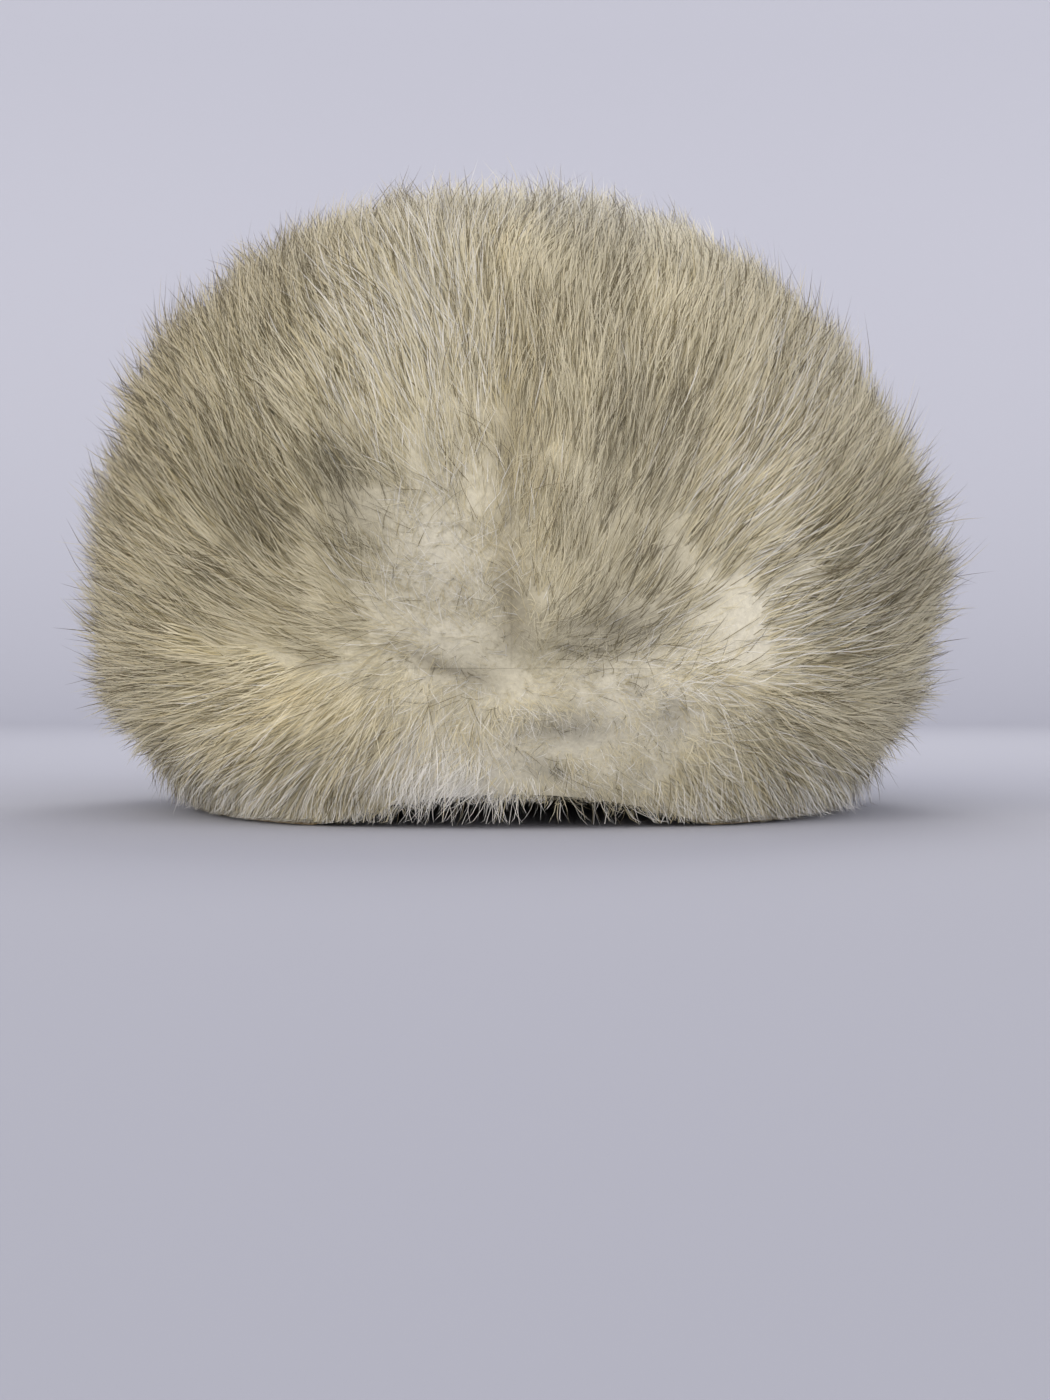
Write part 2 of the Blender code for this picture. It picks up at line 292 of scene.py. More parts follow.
# Places where the fur differs, charted in pixels of the photograph: the centre, the half sizes and the
# turn of the long side from level in degrees. Grey, honey and white are shares of such hairs, and tone is how
# much lighter or darker. Felt is worn wool, short and curled any way with few guard hairs, and a hole is a
# place that shows the roots, darkened by painted shade. Reach is how many millimetres more the fur stands out.
PATCHES = (
    Patch(250, 510, 60, 85, 40, grey=0.15, honey=0.2, tone=-0.22),
    Patch(345, 480, 35, 75, 20, grey=0.15, tone=-0.32),
    Patch(350, 395, 45, 35, 30, white=0.2, tone=0.06),
    Patch(350, 300, 45, 50, 0, white=0.2, tone=0.02),
    Patch(290, 290, 60, 90, 30, grey=0.12, honey=0.1, tone=-0.06),
    Patch(180, 360, 50, 110, -25, grey=0.12, honey=0.3, tone=-0.03),
    Patch(120, 550, 50, 130, 0, grey=0.05, honey=0.2, tone=0.03),
    Patch(510, 245, 35, 35, 0, tone=0.14),
    Patch(670, 320, 35, 40, 0, tone=0.12),
    Patch(630, 430, 60, 110, 0, grey=0.1, tone=-0.14),
    Patch(670, 470, 45, 65, 0, tone=-0.06),
    Patch(590, 270, 35, 50, 0, tone=-0.10),
    Patch(620, 590, 60, 75, -20, grey=0.2, tone=-0.12),
    Patch(610, 635, 75, 22, 5, grey=0.1, tone=-0.16, hole=0.2, reach=-1.5),
    Patch(800, 370, 60, 90, -35, white=0.15, tone=-0.01),
    Patch(870, 570, 80, 60, 35, grey=0.15, tone=-0.15),
    Patch(920, 530, 35, 100, 0, grey=0.1, tone=0.06),
    Patch(590, 205, 140, 25, 0, grey=0.15, white=0.1, tone=-0.20),
    Patch(520, 450, 28, 120, 0, honey=0.4, tone=-0.14),
    Patch(440, 330, 60, 130, 0, white=0.3, tone=-0.08),
    Patch(425, 470, 40, 50, 0, tone=-0.12),
    Patch(760, 500, 60, 60, 20, white=0.2, tone=0.10),
    Patch(750, 635, 100, 60, 20, white=0.3, tone=0.10),
    Patch(260, 715, 100, 40, 0, honey=0.1, white=0.1, tone=0.22),
    Patch(345, 610, 35, 80, 0, tone=-0.10),
    Patch(440, 580, 65, 90, 0, grey=-0.2, white=0.4, tone=-0.23, felt=0.7),
    Patch(600, 722, 125, 55, 0, grey=-0.2, white=0.3, tone=0.05, felt=1.0),
    Patch(590, 690, 35, 45, 0, tone=-0.12),
    Patch(600, 700, 110, 32, 0, reach=3.0),
    Patch(500, 657, 65, 25, 0, tone=-0.17, felt=0.6),
    Patch(513, 615, 18, 50, 0, felt=0.6),
    Patch(450, 800, 45, 60, 40, white=0.9, tone=0.10),
    Patch(507, 510, 6, 110, 0, grey=0.2, honey=0.5, tone=-0.15, felt=0.3, hole=0.1),
    Patch(504, 588, 8, 20, 15, honey=0.9, hole=0.45),
    Patch(518, 625, 6, 18, -15, honey=0.9, hole=0.4),
    Patch(450, 668, 50, 9, -20, grey=0.2, honey=0.6, tone=-0.10, hole=0.3),
    Patch(637, 687, 8, 9, 0, honey=1.0, tone=-0.5, hole=0.6),
    Patch(450, 590, 12, 8, 0, honey=1.0, tone=-0.15, felt=0.3),
    Patch(560, 733, 45, 7, 0, grey=0.3, honey=0.3, tone=-0.12, hole=0.35),
    Patch(672, 715, 20, 12, 30, grey=0.3, honey=0.3, tone=-0.12, hole=0.35),
    Patch(555, 768, 9, 8, 0, grey=0.6, tone=-0.3, hole=0.6),
    Patch(925, 560, 60, 70, 0, reach=3.0),
    Patch(120, 370, 60, 60, 0, reach=4.0),
    Patch(190, 800, 60, 30, 0, reach=-5.0),
)

# How densely roots grow in plain fur, and how much felt adds and a hole takes away.
PLAIN_GROWTH = 0.65
FELT_GROWTH = 0.35
HOLE_GROWTH = -0.3


def patch_weights(patch, pixels):
    """How much a patch holds at each pixel, fading out smoothly round it."""
    tilt = math.radians(patch.tilt)
    offset = pixels - (patch.x, patch.y)
    wide = offset[:, 0] * math.cos(tilt) - offset[:, 1] * math.sin(tilt)
    high = offset[:, 0] * math.sin(tilt) + offset[:, 1] * math.cos(tilt)
    return np.exp(-0.8 * ((wide / patch.wide) ** 2 + (high / patch.high) ** 2))


def seen_at_back(normals):
    return smooth_step(0.15, -0.2, normals[:, 1])


def patched(trait, pixels, normals):
    """The sum of one trait of the patches at each pixel, on the side that the photograph shows."""
    total = np.zeros(len(pixels))
    for patch in PATCHES:
        amount = getattr(patch, trait)
        if amount:
            total += amount * patch_weights(patch, pixels)
    return total * seen_at_back(normals)


class Sampler:
    """Draws random points on the dome, evenly by area and then by a share that keeps each point or not."""

    def __init__(self, mesh):
        mesh.calc_loop_triangles()
        corners = np.empty(len(mesh.loop_triangles) * 3, np.int32)
        mesh.loop_triangles.foreach_get("vertices", corners)
        self.corners = corners.reshape(-1, 3)
        a, b, c = (dome_points[self.corners[:, i]] for i in range(3))
        area = np.linalg.norm(np.cross(b - a, c - a), axis=1) / 2
        self.area = area.sum()
        self.odds = area / self.area

    def draw(self, count, keep):
        found = []
        while sum(len(points) for points, _ in found) < count:
            chosen = self.corners[chance.choice(len(self.odds), count, p=self.odds)]
            u, v = chance.random(count), chance.random(count)
            over = u + v > 1
            u, v = np.where(over, 1 - u, u), np.where(over, 1 - v, v)
            shares = np.stack((1 - u - v, u, v), axis=1)[:, :, None]
            points = (dome_points[chosen] * shares).sum(axis=1)
            normals = unit((dome_normals[chosen] * shares).sum(axis=1))
            kept = chance.random(count) < keep(points, normals)
            found.append((points[kept], normals[kept]))
        points, normals = (np.concatenate(part)[:count] for part in zip(*found))
        return points, normals


sampler = Sampler(dome.data)


def rim_height(points):
    """The height of the leather's lower edge: a low arch at the middle of the back."""
    arch = np.sqrt(np.maximum(arch_radius**2 - points[:, 0] ** 2, 0)) - (arch_radius - ARCH_HEIGHT)
    return np.where(points[:, 1] < 0, np.maximum(arch, 0), 0)


def in_part(part, points):
    """Whether points lie on this part of the cap."""
    if part.above_seam:
        inside = (points[:, 2] > seam_height) & (points[:, 0] * part.side > 0)
    else:
        inside = (points[:, 2] <= seam_height) & (points[:, 2] > rim_height(points))
    return inside


def growth(part, coat, points, normals):
    """The share of a coat's roots that grow at points of one part."""
    pixels = photo_place(points)
    felt = np.clip(patched("felt", pixels, normals), 0, 1)
    thickness = PLAIN_GROWTH + FELT_GROWTH * felt + HOLE_GROWTH * patched("hole", pixels, normals)
    return in_part(part, points) * np.clip(thickness, 0, 1) * (1 - (1 - coat.in_felt) * felt)


class Clumps:
    """Points spread over the dome that hairs gather to, each with its own random traits."""

    def __init__(self, spacing):
        self.spacing = spacing
        count = int(sampler.area / spacing**2)
        self.roots, _ = sampler.draw(count, lambda points, normals: np.ones(len(points)))
        self.tree = KDTree(count)
        for i, root in enumerate(self.roots):
            self.tree.insert(root, i)
        self.tree.balance()
        self.traits = chance.normal(size=(count, 4))

    def gather(self, points):
        """The offset from each point to its clump, and the clump's random traits."""
        index = np.array([self.tree.find(point)[1] for point in points])
        return self.roots[index] - points, self.traits[index]


tufts = Clumps(8 * MM)
wisps = Clumps(1.1 * MM)


def model_hair(name, rows):
    """One straight flat hair in the XZ plane, 1 long and 1 wide. Rows are (height, width) up to the point."""
    deselect_all()
    bpy.ops.mesh.primitive_plane_add(size=1, location=(0, 0, 0.5), rotation=(math.pi / 2, 0, 0))
    hair = bpy.context.active_object
    hair.name = name
    bake_place(hair)
    select_points(hair, lambda place: place.z > 0.5)
    bpy.ops.mesh.merge(type="CENTER")
    bpy.ops.object.mode_set(mode="EDIT")
    for height, _ in rows[1:]:
        bpy.ops.mesh.select_all(action="SELECT")
        bpy.ops.mesh.bisect(plane_co=(0, 0, height), plane_no=(0, 0, 1))
    for height, width in rows:
        select_points(hair, lambda place: abs(place.z - height) < 0.001)
        bpy.ops.transform.resize(value=(width / (1 - height), 1, 1), center_override=(0, 0, height))
    bpy.ops.object.mode_set(mode="OBJECT")
    return hair


def copy_hair(name, hair, places, normals, bake_places):
    """One mesh of many bent hairs. Places holds every hair's points, in the model hair's order."""
    size = len(hair.data.vertices)
    faces = [list(face.vertices) for face in hair.data.polygons]
    count = len(places)
    mesh = bpy.data.meshes.new(name)
    mesh.vertices.add(count * size)
    mesh.vertices.foreach_set("co", places.astype(np.float32).ravel())
    corners = np.concatenate(faces)
    starts = np.cumsum([0] + [len(face) for face in faces[:-1]])
    mesh.loops.add(count * len(corners))
    hair_corners = (np.arange(count)[:, None] * size + corners).astype(np.int32)
    mesh.loops.foreach_set("vertex_index", hair_corners.ravel())
    mesh.polygons.add(count * len(faces))
    hair_starts = (np.arange(count)[:, None] * len(corners) + starts).astype(np.int32)
    mesh.polygons.foreach_set("loop_start", hair_starts.ravel())
    mesh.update(calc_edges=True)
    mesh.validate()
    layer = mesh.uv_layers.new(name="OFBake")
    layer.data.foreach_set("uv", bake_places[:, corners].astype(np.float32).ravel())
    mesh.shade_smooth()
    mesh.normals_split_custom_set_from_vertices(normals.reshape(-1, 3))
    shape = bpy.data.objects.new(name, mesh)
    bpy.context.scene.collection.objects.link(shape)
    return shape


Coat = namedtuple(
    "Coat",
    "name rows count width length rise spread bend tuft_pull wisp_pull over_rim in_felt depth dark white tone noise",
)

# Rows are the (height, width) of a hair's cross lines, as shares, and count is how many grow on half a crown.
# Rise is how far a hair stands out, as a share of the fur's reach there. Over_rim is the share of hairs that
# hang past the rim, and in_felt the share left in felt. Depth is how much of a hole's painted shade a hair
# takes. Dark and white are how many more are dark tipped, or white at the rim. Tone is how much lighter the
# coat is: painted light on the down and fine hair, and painted shade on the guard hair, that even out the
# shadows the hairs cast on each other. Noise is how much its tones vary.
COATS = (
    Coat(
        "down", rows=((0.0, 1.0),), count=80000, width=0.34 * MM, length=9 * MM, rise=0.16, spread=0.20,
        bend=0.2, tuft_pull=0.10, wisp_pull=0.20, over_rim=0.0, in_felt=1.0, depth=1.0, dark=-0.15, white=0.0,
        tone=0.08, noise=0.02,
    ),
    Coat(
        "fine_hair", rows=((0.0, 0.9), (0.5, 1.0)), count=38000, width=0.25 * MM, length=16 * MM, rise=0.34,
        spread=0.18, bend=0.45, tuft_pull=0.24, wisp_pull=0.30, over_rim=0.1, in_felt=1.0, depth=0.5,
        dark=-0.10, white=0.1, tone=0.05, noise=0.01,
    ),
    Coat(
        "guard_hair", rows=((0.0, 0.8), (0.36, 1.0), (0.7, 0.75)), count=32000, width=0.20 * MM, length=22 * MM,
        rise=0.50, spread=0.26, bend=0.35, tuft_pull=0.38, wisp_pull=0.35, over_rim=0.35, in_felt=0.08,
        depth=0.15, dark=0.14, white=0.6, tone=-0.02, noise=0.015,
    ),
)
ROLL = 0.7

# Felt's hairs lose this share of their length, and a hole's this share. Near the rim all hairs are shorter.
FELT_LOSS = 0.55
FELT_FINENESS = 0.3
HOLE_LOSS = 0.6
RIM_LENGTH = 0.55
LONG_ABOVE_RIM = 35 * MM

# Hairs hang free past the rim over this half width at the middle of the back.
FRINGE_HALF_WIDTH = 50 * MM


def trim_at_rim(coat, length, base, drop):
    """Ends most hairs at the leather's edge. Drop is how far a hair falls for its length."""
    room = (base[:, 2] - rim_height(base) + 1 * MM) / np.maximum(drop, 1e-6)
    trimmed = np.minimum(length, np.maximum(room * chance.uniform(0.8, 1.2, len(base)), 0.15 * length))
    fringe = (base[:, 1] < 0) * smooth_step(FRINGE_HALF_WIDTH * 1.2, FRINGE_HALF_WIDTH * 0.8, np.abs(base[:, 0]))
    return np.where(chance.random(len(base)) < coat.over_rim * (0.25 + 0.75 * fringe), length, trimmed)


def rest_on_floor(places, normals):
    """Bends what would pass through the floor outwards along it."""
    low = FLOOR_CLEARANCE + 0.8 * MM * chance.random(len(places))[:, None]
    sunk = np.maximum(low - places[:, :, 2], 0)
    places[:, :, :2] += unit(normals[:, None, :2]) * sunk[:, :, None] * 0.5
    places[:, :, 2] += sunk * 1.1


def bent_hairs(coat, roots, normals, template):
    """Every hair's points and normals, and its clumps' traits."""
    count = len(roots)
    to_tuft, tuft = tufts.gather(roots)
    to_wisp, wisp = wisps.gather(roots)
    share = fur_share(roots)
    reach = fur_reach(roots, normals)
    pixels = photo_place(roots + normals * reach[:, None] * 0.8)
    felt = np.clip(patched("felt", pixels, normals), 0, 1)
    short = np.clip(FELT_LOSS * felt + HOLE_LOSS * patched("hole", pixels, normals), 0, 0.8)

    flow = fur_flow(roots, normals)
    turn = 0.08 * tuft[:, 0] + 0.09 * wisp[:, 0] + 0.06 * chance.standard_t(4, count)
    turn += felt * (0.6 * wisp[:, 1] + 1.8 * chance.uniform(-1, 1, count))
    flow = unit(flow * np.cos(turn)[:, None] + np.cross(normals, flow) * np.sin(turn)[:, None])
    side = np.cross(normals, flow)

    size = 1 + 0.12 * tuft[:, 1] + 0.08 * wisp[:, 1] + coat.spread * chance.normal(size=count)
    size *= RIM_LENGTH + (1 - RIM_LENGTH) * smooth_step(0, LONG_ABOVE_RIM, roots[:, 2])
    length = coat.length * (0.35 + 0.65 * share) * np.maximum(size, 0.2) * (1 - short)
    rise = coat.rise * reach * (1 + 0.26 * tuft[:, 2] + 0.16 * wisp[:, 2] + coat.spread * chance.normal(size=count))
    mean_lean = np.arccos(np.clip(rise * (1 - 0.5 * short) / length, 0.12, 0.93))
    start, bend = mean_lean - coat.bend / 2, coat.bend

    base = roots + normals * (reach * UNDERWOOL_SHARE - ROOT_DEPTH)[:, None]
    t = template[:, 2]
    a, b = start[:, None], start[:, None] + bend * t
    rise_share = (np.sin(b) - np.sin(a)) / bend
    run_share = (np.cos(a) - np.cos(b)) / bend
    bow = (0.10 + 0.45 * felt) * chance.normal(size=count) + 0.05 * wisp[:, 3]
    path = (
        normals[:, None] * rise_share[:, :, None]
        + flow[:, None] * run_share[:, :, None]
        + side[:, None] * (bow[:, None] * t**2)[:, :, None]
    )
    length = trim_at_rim(coat, length, base, -path[:, np.argmax(t), 2])
    places = base[:, None] + length[:, None, None] * path
    pull = (t**1.2)[None, :, None]
    places += to_wisp[:, None] * pull * coat.wisp_pull + to_tuft[:, None] * pull * coat.tuft_pull

    heading = normals[:, None] * np.cos(b)[:, :, None] + flow[:, None] * np.sin(b)[:, :, None]
    facing = np.cross(side[:, None], heading)
    roll = ROLL * chance.normal(size=count)[:, None, None]
    across = side[:, None] * np.cos(roll) + facing * np.sin(roll)
    across *= np.sign((np.cross(across, heading) * normals[:, None]).sum(axis=(1, 2)))[:, None, None]
    width = coat.width * (0.6 + 0.4 * share) * (1 - FELT_FINENESS * felt) * chance.uniform(0.75, 1.25, count)
    places += across * (template[None, :, 0, None] * width[:, None, None])
    rest_on_floor(places, normals)

    lit = unit(
        0.9 * normals[:, None] + 0.07 * np.cross(across, heading)
        - 0.06 * (to_wisp / wisps.spacing)[:, None] - 0.2 * (to_tuft / tufts.spacing)[:, None]
    )
    return places, lit, tuft, wisp


# Colours of single hairs as sRGB: the four kinds that the fur is mixed from.
# The cream, honey and white kinds are darker at the root than in the middle: painted shade at the base of the fur.
HueBand = namedtuple("HueBand", "name root middle tip")
HUES = (
    HueBand("cream", "#d4cbaa", "#e2dabb", "#e5dec5"),
    HueBand("dark_tipped", "#cec6a8", "#82785a", "#574e37"),
    HueBand("honey", "#cdc297", "#d9cda6", "#dcd1b0"),
    HueBand("white", "#dcd9ca", "#eeece2", "#f7f6f2"),
)
BAND_MARGIN = 0.06
MIDDLE_TONE = 0.65
DARKEST = 0.25
LIGHTEST = 1.25

# The share of light that a hair lets through, so that its underside isn't dark.
LET_THROUGH = 0.3


def mixed_colours(places, normals, dark=0.0, rim_white=0.0, depth=1.0):
    """The shares of each kind of hair at places, and their tone from 0, dark, to 1, light."""
    pixels = photo_place(places)
    grey, honey, white, tone = (patched(trait, pixels, normals) for trait in ("grey", "honey", "white", "tone"))
    far = 1 - seen_at_back(normals)
    mottle = ripple(places, 95 * MM, 21)
    grey += far * 0.12 * smooth_step(0.0, 0.9, mottle)
    tone -= far * 0.12 * smooth_step(0.0, 0.9, mottle)
    honey += far * 0.25 * smooth_step(0.0, 1.0, ripple(places, 80 * MM, 22)) + 0.05
    white += far * 0.15 * smooth_step(0.0, 1.0, ripple(places, 70 * MM, 23)) + 0.04
    grey += (0.12 + dark) * (1 - 0.7 * white) + 0.06 * ripple(places, 30 * MM, 24)
    rim = 1 - smooth_step(0.004, 0.022, places[:, 2])
    white += rim_white * rim
    # Hair that faces up is a little darker: partly painted shade on the top, partly the top's greyer colour.
    tone += MIDDLE_TONE + 0.25 * rim_white * rim - 0.04 * smooth_step(0.25, 0.85, normals[:, 2])
    # Holes darken the hair with painted shade, the deeper coats and the underwool most.
    tone -= depth * patched("hole", pixels, normals)
    shares = np.maximum(np.stack((1 - grey - honey - white, grey, honey, white), axis=1), 0.02)
    return shares / shares.sum(axis=1, keepdims=True), tone


def colour_of(coat, places, normals, tuft, wisp):
    """Each hair's kind of colour and its tone."""
    count = len(places)
    seen_at = places[:, -1] * 0.5 + places.mean(axis=1) * 0.5
    shares, tone = mixed_colours(seen_at, normals, coat.dark, coat.white, coat.depth)
    pick = 0.8 * chance.random(count) + 0.2 * (0.5 + np.arctan(wisp[:, 2]) / math.pi)
    kind = (pick[:, None] > np.cumsum(shares, axis=1)[:, :3]).sum(axis=1)
    tone += coat.tone + coat.noise * (chance.normal(size=count) + 0.7 * wisp[:, 3] + 0.7 * tuft[:, 3])
    return kind, np.clip(tone, 0.02, 0.98)


def bake_map(kind, tone, template):
    """UV places whose colour the fur material works out: tone across, then kind and place along the hair."""
    u = tone[:, None] + template[None, :, 0] * 0.004
    v = BAND_MARGIN + (1 - 2 * BAND_MARGIN) * template[None, :, 2]
    return np.stack(np.broadcast_arrays(u, (kind[:, None] + v) / len(HUES)), axis=2)


def linear(hex_colour):
    """An sRGB hex colour as linear red, green, blue and alpha."""
    values = [int(hex_colour[i:i + 2], 16) / 255 for i in (1, 3, 5)]
    return [v / 12.92 if v <= 0.04045 else ((v + 0.055) / 1.055) ** 2.4 for v in values] + [1.0]


# The colour sockets of a Mix node, which shares their names with its other kinds of socket.
MIX_A = 6
MIX_B = 7
MIX_RESULT = 2

# The underwool's colour attribute, the painted shade that darkens it from the hair's mean, and its grain size.
WOOL_COLOUR = "wool_colour"
WOOL_PAINTED_SHADE = 0.95
FELT_GRAIN = 1.2 * MM


def add_node(tree, kind, links=(), inputs=(), **settings):
    """Adds a shader node. Links are (input, node, output), and inputs are (input, value)."""
    node = tree.nodes.new(kind)
    for name, value in settings.items():
        setattr(node, name, value)
    for socket, value in dict(inputs).items():
        node.inputs[socket].default_value = value
    for socket, other, output in links:
        tree.links.new(other.outputs[output], node.inputs[socket])
    return node


def new_material(name):
    material = bpy.data.materials.new(name)
    material.use_nodes = True
    material.node_tree.nodes.clear()
    return material, material.node_tree


def fur_material(name, roughness):
    """Hair keratin, a soft dielectric that glows with the light behind it. Its colour follows the hair's map."""
    material, tree = new_material(name)
    uv = add_node(tree, "ShaderNodeUVMap", uv_map="OFBake")
    split = add_node(tree, "ShaderNodeSeparateXYZ", [("Vector", uv, "UV")])
    ramp = add_node(tree, "ShaderNodeValToRGB", [("Fac", split, "Y")])
    stops = []
    for band, hue in enumerate(HUES):
        for share, colour in ((0.0, hue.root), (0.5, hue.middle), (1.0, hue.tip)):
            stops.append(((band + BAND_MARGIN + (1 - 2 * BAND_MARGIN) * share) / len(HUES), linear(colour)))
    elements = ramp.color_ramp.elements
    elements.remove(elements[1])
    elements[0].position, elements[0].color = stops[0]
    for place, colour in stops[1:]:
        elements.new(place).color = colour
    tone = add_node(
        tree, "ShaderNodeMapRange", [("Value", split, "X")],
        {"From Min": 0.0, "From Max": 1.0, "To Min": DARKEST, "To Max": LIGHTEST},
    )
    shade = add_node(
        tree, "ShaderNodeMix", [(MIX_A, ramp, "Color"), (MIX_B, tone, "Result")], {"Factor": 1.0},
        data_type="RGBA", blend_type="MULTIPLY",
    )
    shader = add_node(
        tree, "ShaderNodeBsdfPrincipled", [("Base Color", shade, MIX_RESULT)],
        {"Roughness": roughness, "IOR": 1.55, "Specular IOR Level": 0.35},
    )
    glow = add_node(tree, "ShaderNodeBsdfTranslucent", [("Color", shade, MIX_RESULT)])
    both = add_node(tree, "ShaderNodeMixShader", [(1, shader, "BSDF"), (2, glow, "BSDF")], {"Fac": LET_THROUGH})
    add_node(tree, "ShaderNodeOutputMaterial", [("Surface", both, "Shader")])
    return material


def wool_material():
    """Felted underwool, matt. Its colour is the hair's mean, point by point, darkened a little with painted shade.
    """
    material, tree = new_material("felted underwool")
    place = add_node(tree, "ShaderNodeTexCoord")
    mean = add_node(tree, "ShaderNodeAttribute", attribute_name=WOOL_COLOUR)
    felt = add_node(
        tree, "ShaderNodeTexNoise", [("Vector", place, "Object")],
        {"Scale": 1 / FELT_GRAIN, "Detail": 4.0, "Roughness": 0.65},
    )
    shadow = add_node(
        tree, "ShaderNodeMapRange", [("Value", felt, "Fac")],
        {"From Min": 0.3, "From Max": 0.7, "To Min": 0.78, "To Max": 1.0},
    )
    shade = add_node(
        tree, "ShaderNodeMix", [(MIX_A, mean, "Color"), (MIX_B, shadow, "Result")], {"Factor": 1.0},
        data_type="RGBA", blend_type="MULTIPLY",
    )
    bump = add_node(tree, "ShaderNodeBump", [("Height", felt, "Fac")], {"Strength": 0.5, "Distance": 0.4 * MM})
    shader = add_node(
        tree, "ShaderNodeBsdfPrincipled", [("Base Color", shade, MIX_RESULT), ("Normal", bump, "Normal")],
        {"Roughness": 0.95, "IOR": 1.5},
    )
    add_node(tree, "ShaderNodeOutputMaterial", [("Surface", shader, "BSDF")])
    return material


def tint_wool(shape):
    """Gives each point of the underwool the mean colour of the hair that grows there."""
    points, normals = vertex_array(shape.data), vertex_array(shape.data, "normal")
    shares, tone = mixed_colours(points, normals)
    colours = shares @ np.array([linear(hue.middle) for hue in HUES])
    # Painted shade: the underwool is a little darker than the hair above it.
    colours[:, :3] *= (WOOL_PAINTED_SHADE * (DARKEST + (LIGHTEST - DARKEST) * tone))[:, None]
    layer = shape.data.color_attributes.new(WOOL_COLOUR, "FLOAT_COLOR", "POINT")
    layer.data.foreach_set("color", colours.astype(np.float32).ravel())


def mottled_material(name, dark, light, patch_size, grain_size, grain_depth, roughness):
    """A matt fibrous surface: two colours in soft patches, and a fine nap that catches the light."""
    material, tree = new_material(name)
    place = add_node(tree, "ShaderNodeTexCoord")
    patches = add_node(
        tree, "ShaderNodeTexNoise", [("Vector", place, "Object")],
        {"Scale": 1 / patch_size, "Detail": 4.0, "Roughness": 0.6},
    )
    colour = add_node(tree, "ShaderNodeValToRGB", [("Fac", patches, "Fac")])
    elements = colour.color_ramp.elements
    elements[0].position, elements[0].color = 0.35, linear(dark)
    elements[1].position, elements[1].color = 0.65, linear(light)
    nap = add_node(
        tree, "ShaderNodeTexNoise", [("Vector", place, "Object")], {"Scale": 1 / grain_size, "Detail": 3.0},
    )
    bump = add_node(tree, "ShaderNodeBump", [("Height", nap, "Fac")], {"Strength": 0.6, "Distance": grain_depth})
    shader = add_node(
        tree, "ShaderNodeBsdfPrincipled", [("Base Color", colour, "Color"), ("Normal", bump, "Normal")],
        {"Roughness": roughness, "IOR": 1.5},
    )
    add_node(tree, "ShaderNodeOutputMaterial", [("Surface", shader, "BSDF")])
    return material


def plain_material(name, colour, roughness):
    material, tree = new_material(name)
    shader = add_node(tree, "ShaderNodeBsdfPrincipled", [], {"Base Color": linear(colour), "Roughness": roughness})
    add_node(tree, "ShaderNodeOutputMaterial", [("Surface", shader, "BSDF")])
    return material


def cut_planes(part, gap):
    """The planes that bound one part at its seams: the axis, the place on it, and the side that is kept."""
    if part.above_seam:
        planes = ((2, seam_height + gap, 1), (0, part.side * gap / 2, part.side))
    else:
        planes = ((2, seam_height, -1),)
    return planes


def push_out(shape, planes, outwards):
    """Moves the mesh out along its normals, and keeps its cut edges on their planes."""
    points, normals = vertex_array(shape.data), vertex_array(shape.data, "normal")
    moved = points + normals * outwards(points, normals)[:, None]
    for axis, place, _ in planes:
        moved[np.abs(points[:, axis] - place) < 2 * ON_PLANE, axis] = place
    move_points(shape.data, moved)


def cut_rim_arch(shape):
    """Cuts the low arch under the rim at the middle of the back."""
    deselect_all()
    bpy.ops.mesh.primitive_cylinder_add(
        vertices=192, radius=arch_radius, depth=FAR,
        location=(0, -FAR / 2, ARCH_HEIGHT - arch_radius), rotation=(math.pi / 2, 0, 0),
    )
    cutter = bpy.context.active_object
    apply_modifier(shape, "BOOLEAN", operation="DIFFERENCE", object=cutter, solver="EXACT")
    bpy.data.objects.remove(cutter, do_unlink=True)


def dome_shell(part, name, outwards, wall, gap, lowest, material):
    """A closed wall over one part of the dome, its outside this far out from the leather's."""
    shape = dome.copy()
    shape.data = dome.data.copy()
    shape.name = name
    bpy.context.scene.collection.objects.link(shape)
    planes = cut_planes(part, gap)
    for axis, place, kept in planes:
        direction = Vector((0, 0, 0))
        direction[axis] = kept
        cut_away(shape, direction * place * kept, direction)
    push_out(shape, planes, outwards)
    apply_modifier(shape, "SOLIDIFY", thickness=wall, offset=-1.0)
    if not part.above_seam:
        cut_rim_arch(shape)
    points = vertex_array(shape.data)
    points[:, 2] = np.maximum(points[:, 2], lowest)
    move_points(shape.data, points)
    only(shape)
    bpy.ops.object.shade_smooth_by_angle(angle=CREASE)
    shape.data.materials.clear()
    shape.data.materials.append(material)
    return shape


def no_depth(points, normals):
    return np.zeros(len(points))


def underwool_depth(points, normals):
    lumps = 1 + 0.08 * ripple(points, 16 * MM, 31) + 0.05 * ripple(points, 7 * MM, 32)
    return fur_reach(points, normals) * UNDERWOOL_SHARE * lumps


def ride(shape, node):
    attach(shape, BODY)
    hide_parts(node)


hair_models = [model_hair(coat.name, coat.rows) for coat in COATS]
hair_finishes = [
    fur_material("matt down", 0.8), fur_material("fine cream hair", 0.6), fur_material("glossy guard hair", 0.42),
]
wool = wool_material()
leather = mottled_material(
    "sueded pelt leather", "#b39a74", "#cbb48d", patch_size=14 * MM, grain_size=0.5 * MM, grain_depth=0.15 * MM,
    roughness=0.88,
)

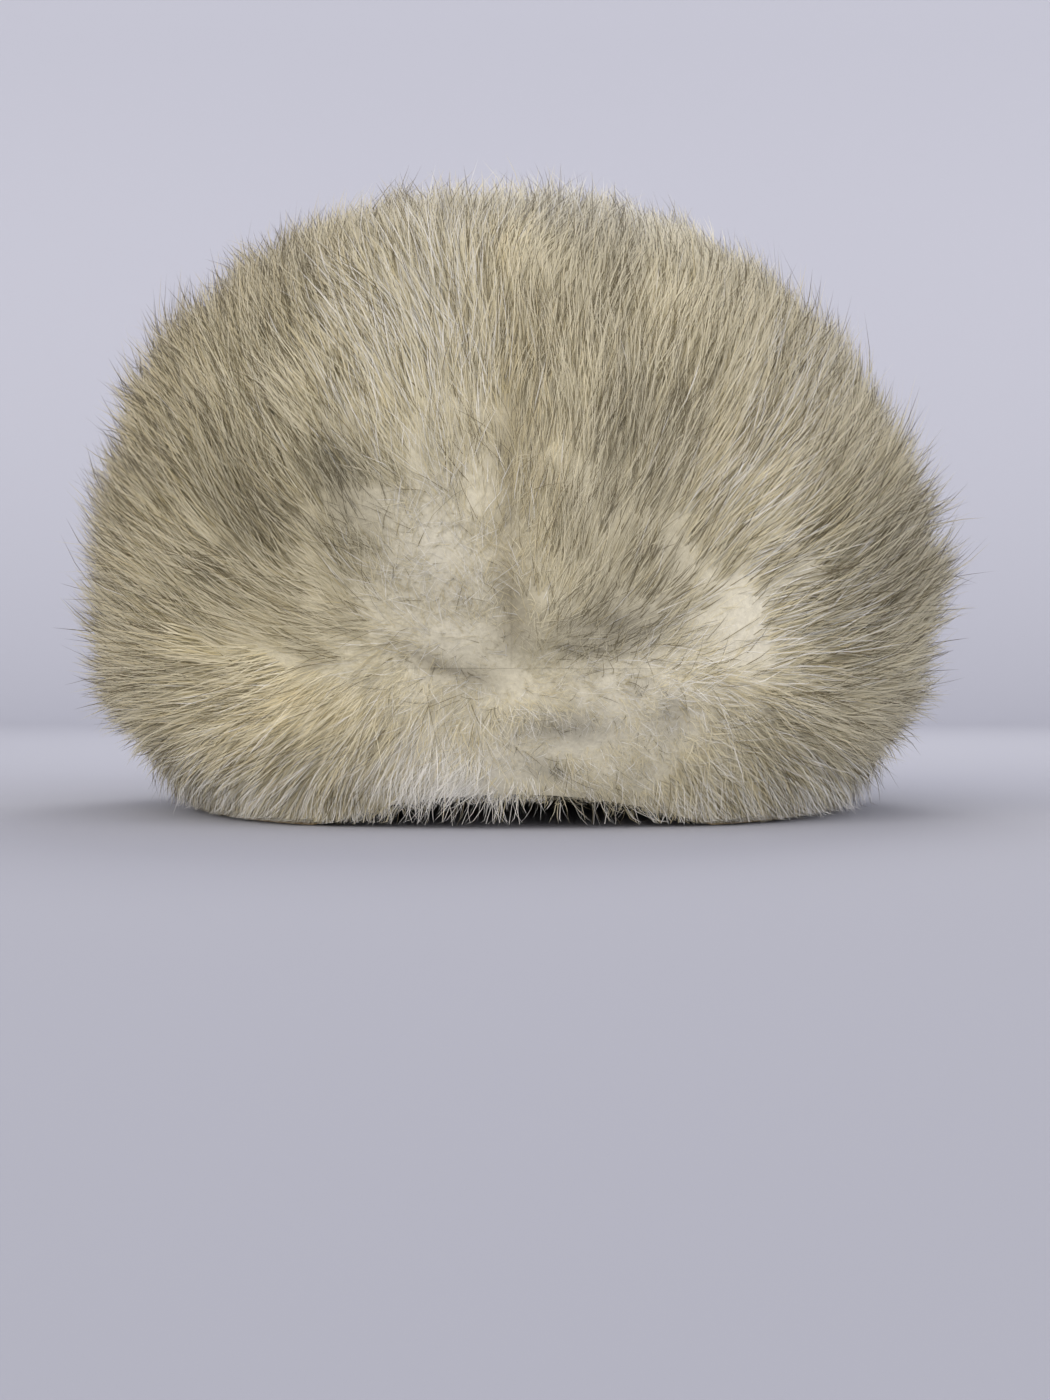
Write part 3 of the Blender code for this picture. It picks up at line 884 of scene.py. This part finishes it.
for part in PARTS:
    pelt = dome_shell(part, part.name + "_leather", no_depth, PELT_WALL, PIECE_GAP, 0, leather)
    ride(pelt, part.name + "_pelt")
    underwool = dome_shell(
        part, part.name + "_underwool", underwool_depth, UNDERWOOL_WALL, WOOL_GAP, LOWEST_WOOL, wool,
    )
    tint_wool(underwool)
    ride(underwool, part.name + "_fur")
    for coat, model, finish in zip(COATS, hair_models, hair_finishes):
        count = int(coat.count * part.hair_share)
        roots, normals = sampler.draw(count, lambda points, normals: growth(part, coat, points, normals))
        template = vertex_array(model.data)
        places, lit, tuft, wisp = bent_hairs(coat, roots, normals, template)
        kind, tone = colour_of(coat, places, normals, tuft, wisp)
        shape = copy_hair(f"{part.name}_{coat.name}", model, places, lit, bake_map(kind, tone, template))
        shape.data.materials.append(finish)
        ride(shape, part.name + "_fur")

for helper in (dome, *hair_models):
    bpy.data.objects.remove(helper, do_unlink=True)


def add_camera():
    deselect_all()
    bpy.ops.object.camera_add(location=CAMERA_PLACE, rotation=(math.pi / 2, 0, 0))
    camera = bpy.context.active_object
    camera.data.sensor_fit = "VERTICAL"
    camera.data.sensor_height = SENSOR_HEIGHT
    camera.data.lens = FOCAL_PIXELS * SENSOR_HEIGHT / PHOTO_HEIGHT
    camera.data.clip_start = 0.01
    bpy.context.scene.camera = camera


def add_stage():
    """A pale floor that curves up into a backdrop far behind the cap."""
    deselect_all()
    bpy.ops.mesh.primitive_plane_add(size=6, location=(0, 0, 0))
    floor = bpy.context.active_object
    floor.name = "studio_floor"
    bake_place(floor)
    select_points(floor, lambda place: place.y > 0)
    bpy.ops.mesh.extrude_region_move(TRANSFORM_OT_translate={"value": (0, 0, 4)})
    bpy.ops.object.mode_set(mode="OBJECT")
    apply_modifier(floor, "BEVEL", width=1.2, segments=16, limit_method="ANGLE")
    bpy.ops.object.shade_smooth()
    floor.data.materials.append(plain_material("matt backdrop paper", "#a0a2ab", 0.95))


def aim_light(kind, name, place, power, colour):
    deselect_all()
    bpy.ops.object.light_add(type=kind, location=place)
    light = bpy.context.active_object
    light.name = name
    light.data.energy = power
    light.data.color = linear(colour)[:3]
    light.rotation_euler = (-Vector(place)).to_track_quat("-Z", "Y").to_euler()
    return light.data


def add_far_light(name, place, softness, power, colour):
    """A far soft light. Softness is the angle that it fills, in degrees."""
    aim_light("SUN", name, place, power, colour).angle = math.radians(softness)


def add_panel_light(name, place, width, power, colour):
    """A near soft light: a square panel this wide."""
    aim_light("AREA", name, place, power, colour).size = width


add_camera()
add_stage()
add_far_light("key", (-0.6, -1.3, 0.55), 70, 2.25, "#fff8ee")
add_far_light("fill", (0.9, -1.2, 0.08), 80, 1.57, "#f6f6ff")
add_panel_light("front_panel", (0.2, 0.9, 1.2), 0.6, 6, "#fffcf6")
world = bpy.data.worlds.new("studio")
bpy.context.scene.world = world
world.use_nodes = True
world.node_tree.nodes["Background"].inputs["Color"].default_value = linear("#e8e6f0")
world.node_tree.nodes["Background"].inputs["Strength"].default_value = 0.96
bpy.context.scene.view_settings.view_transform = "Standard"
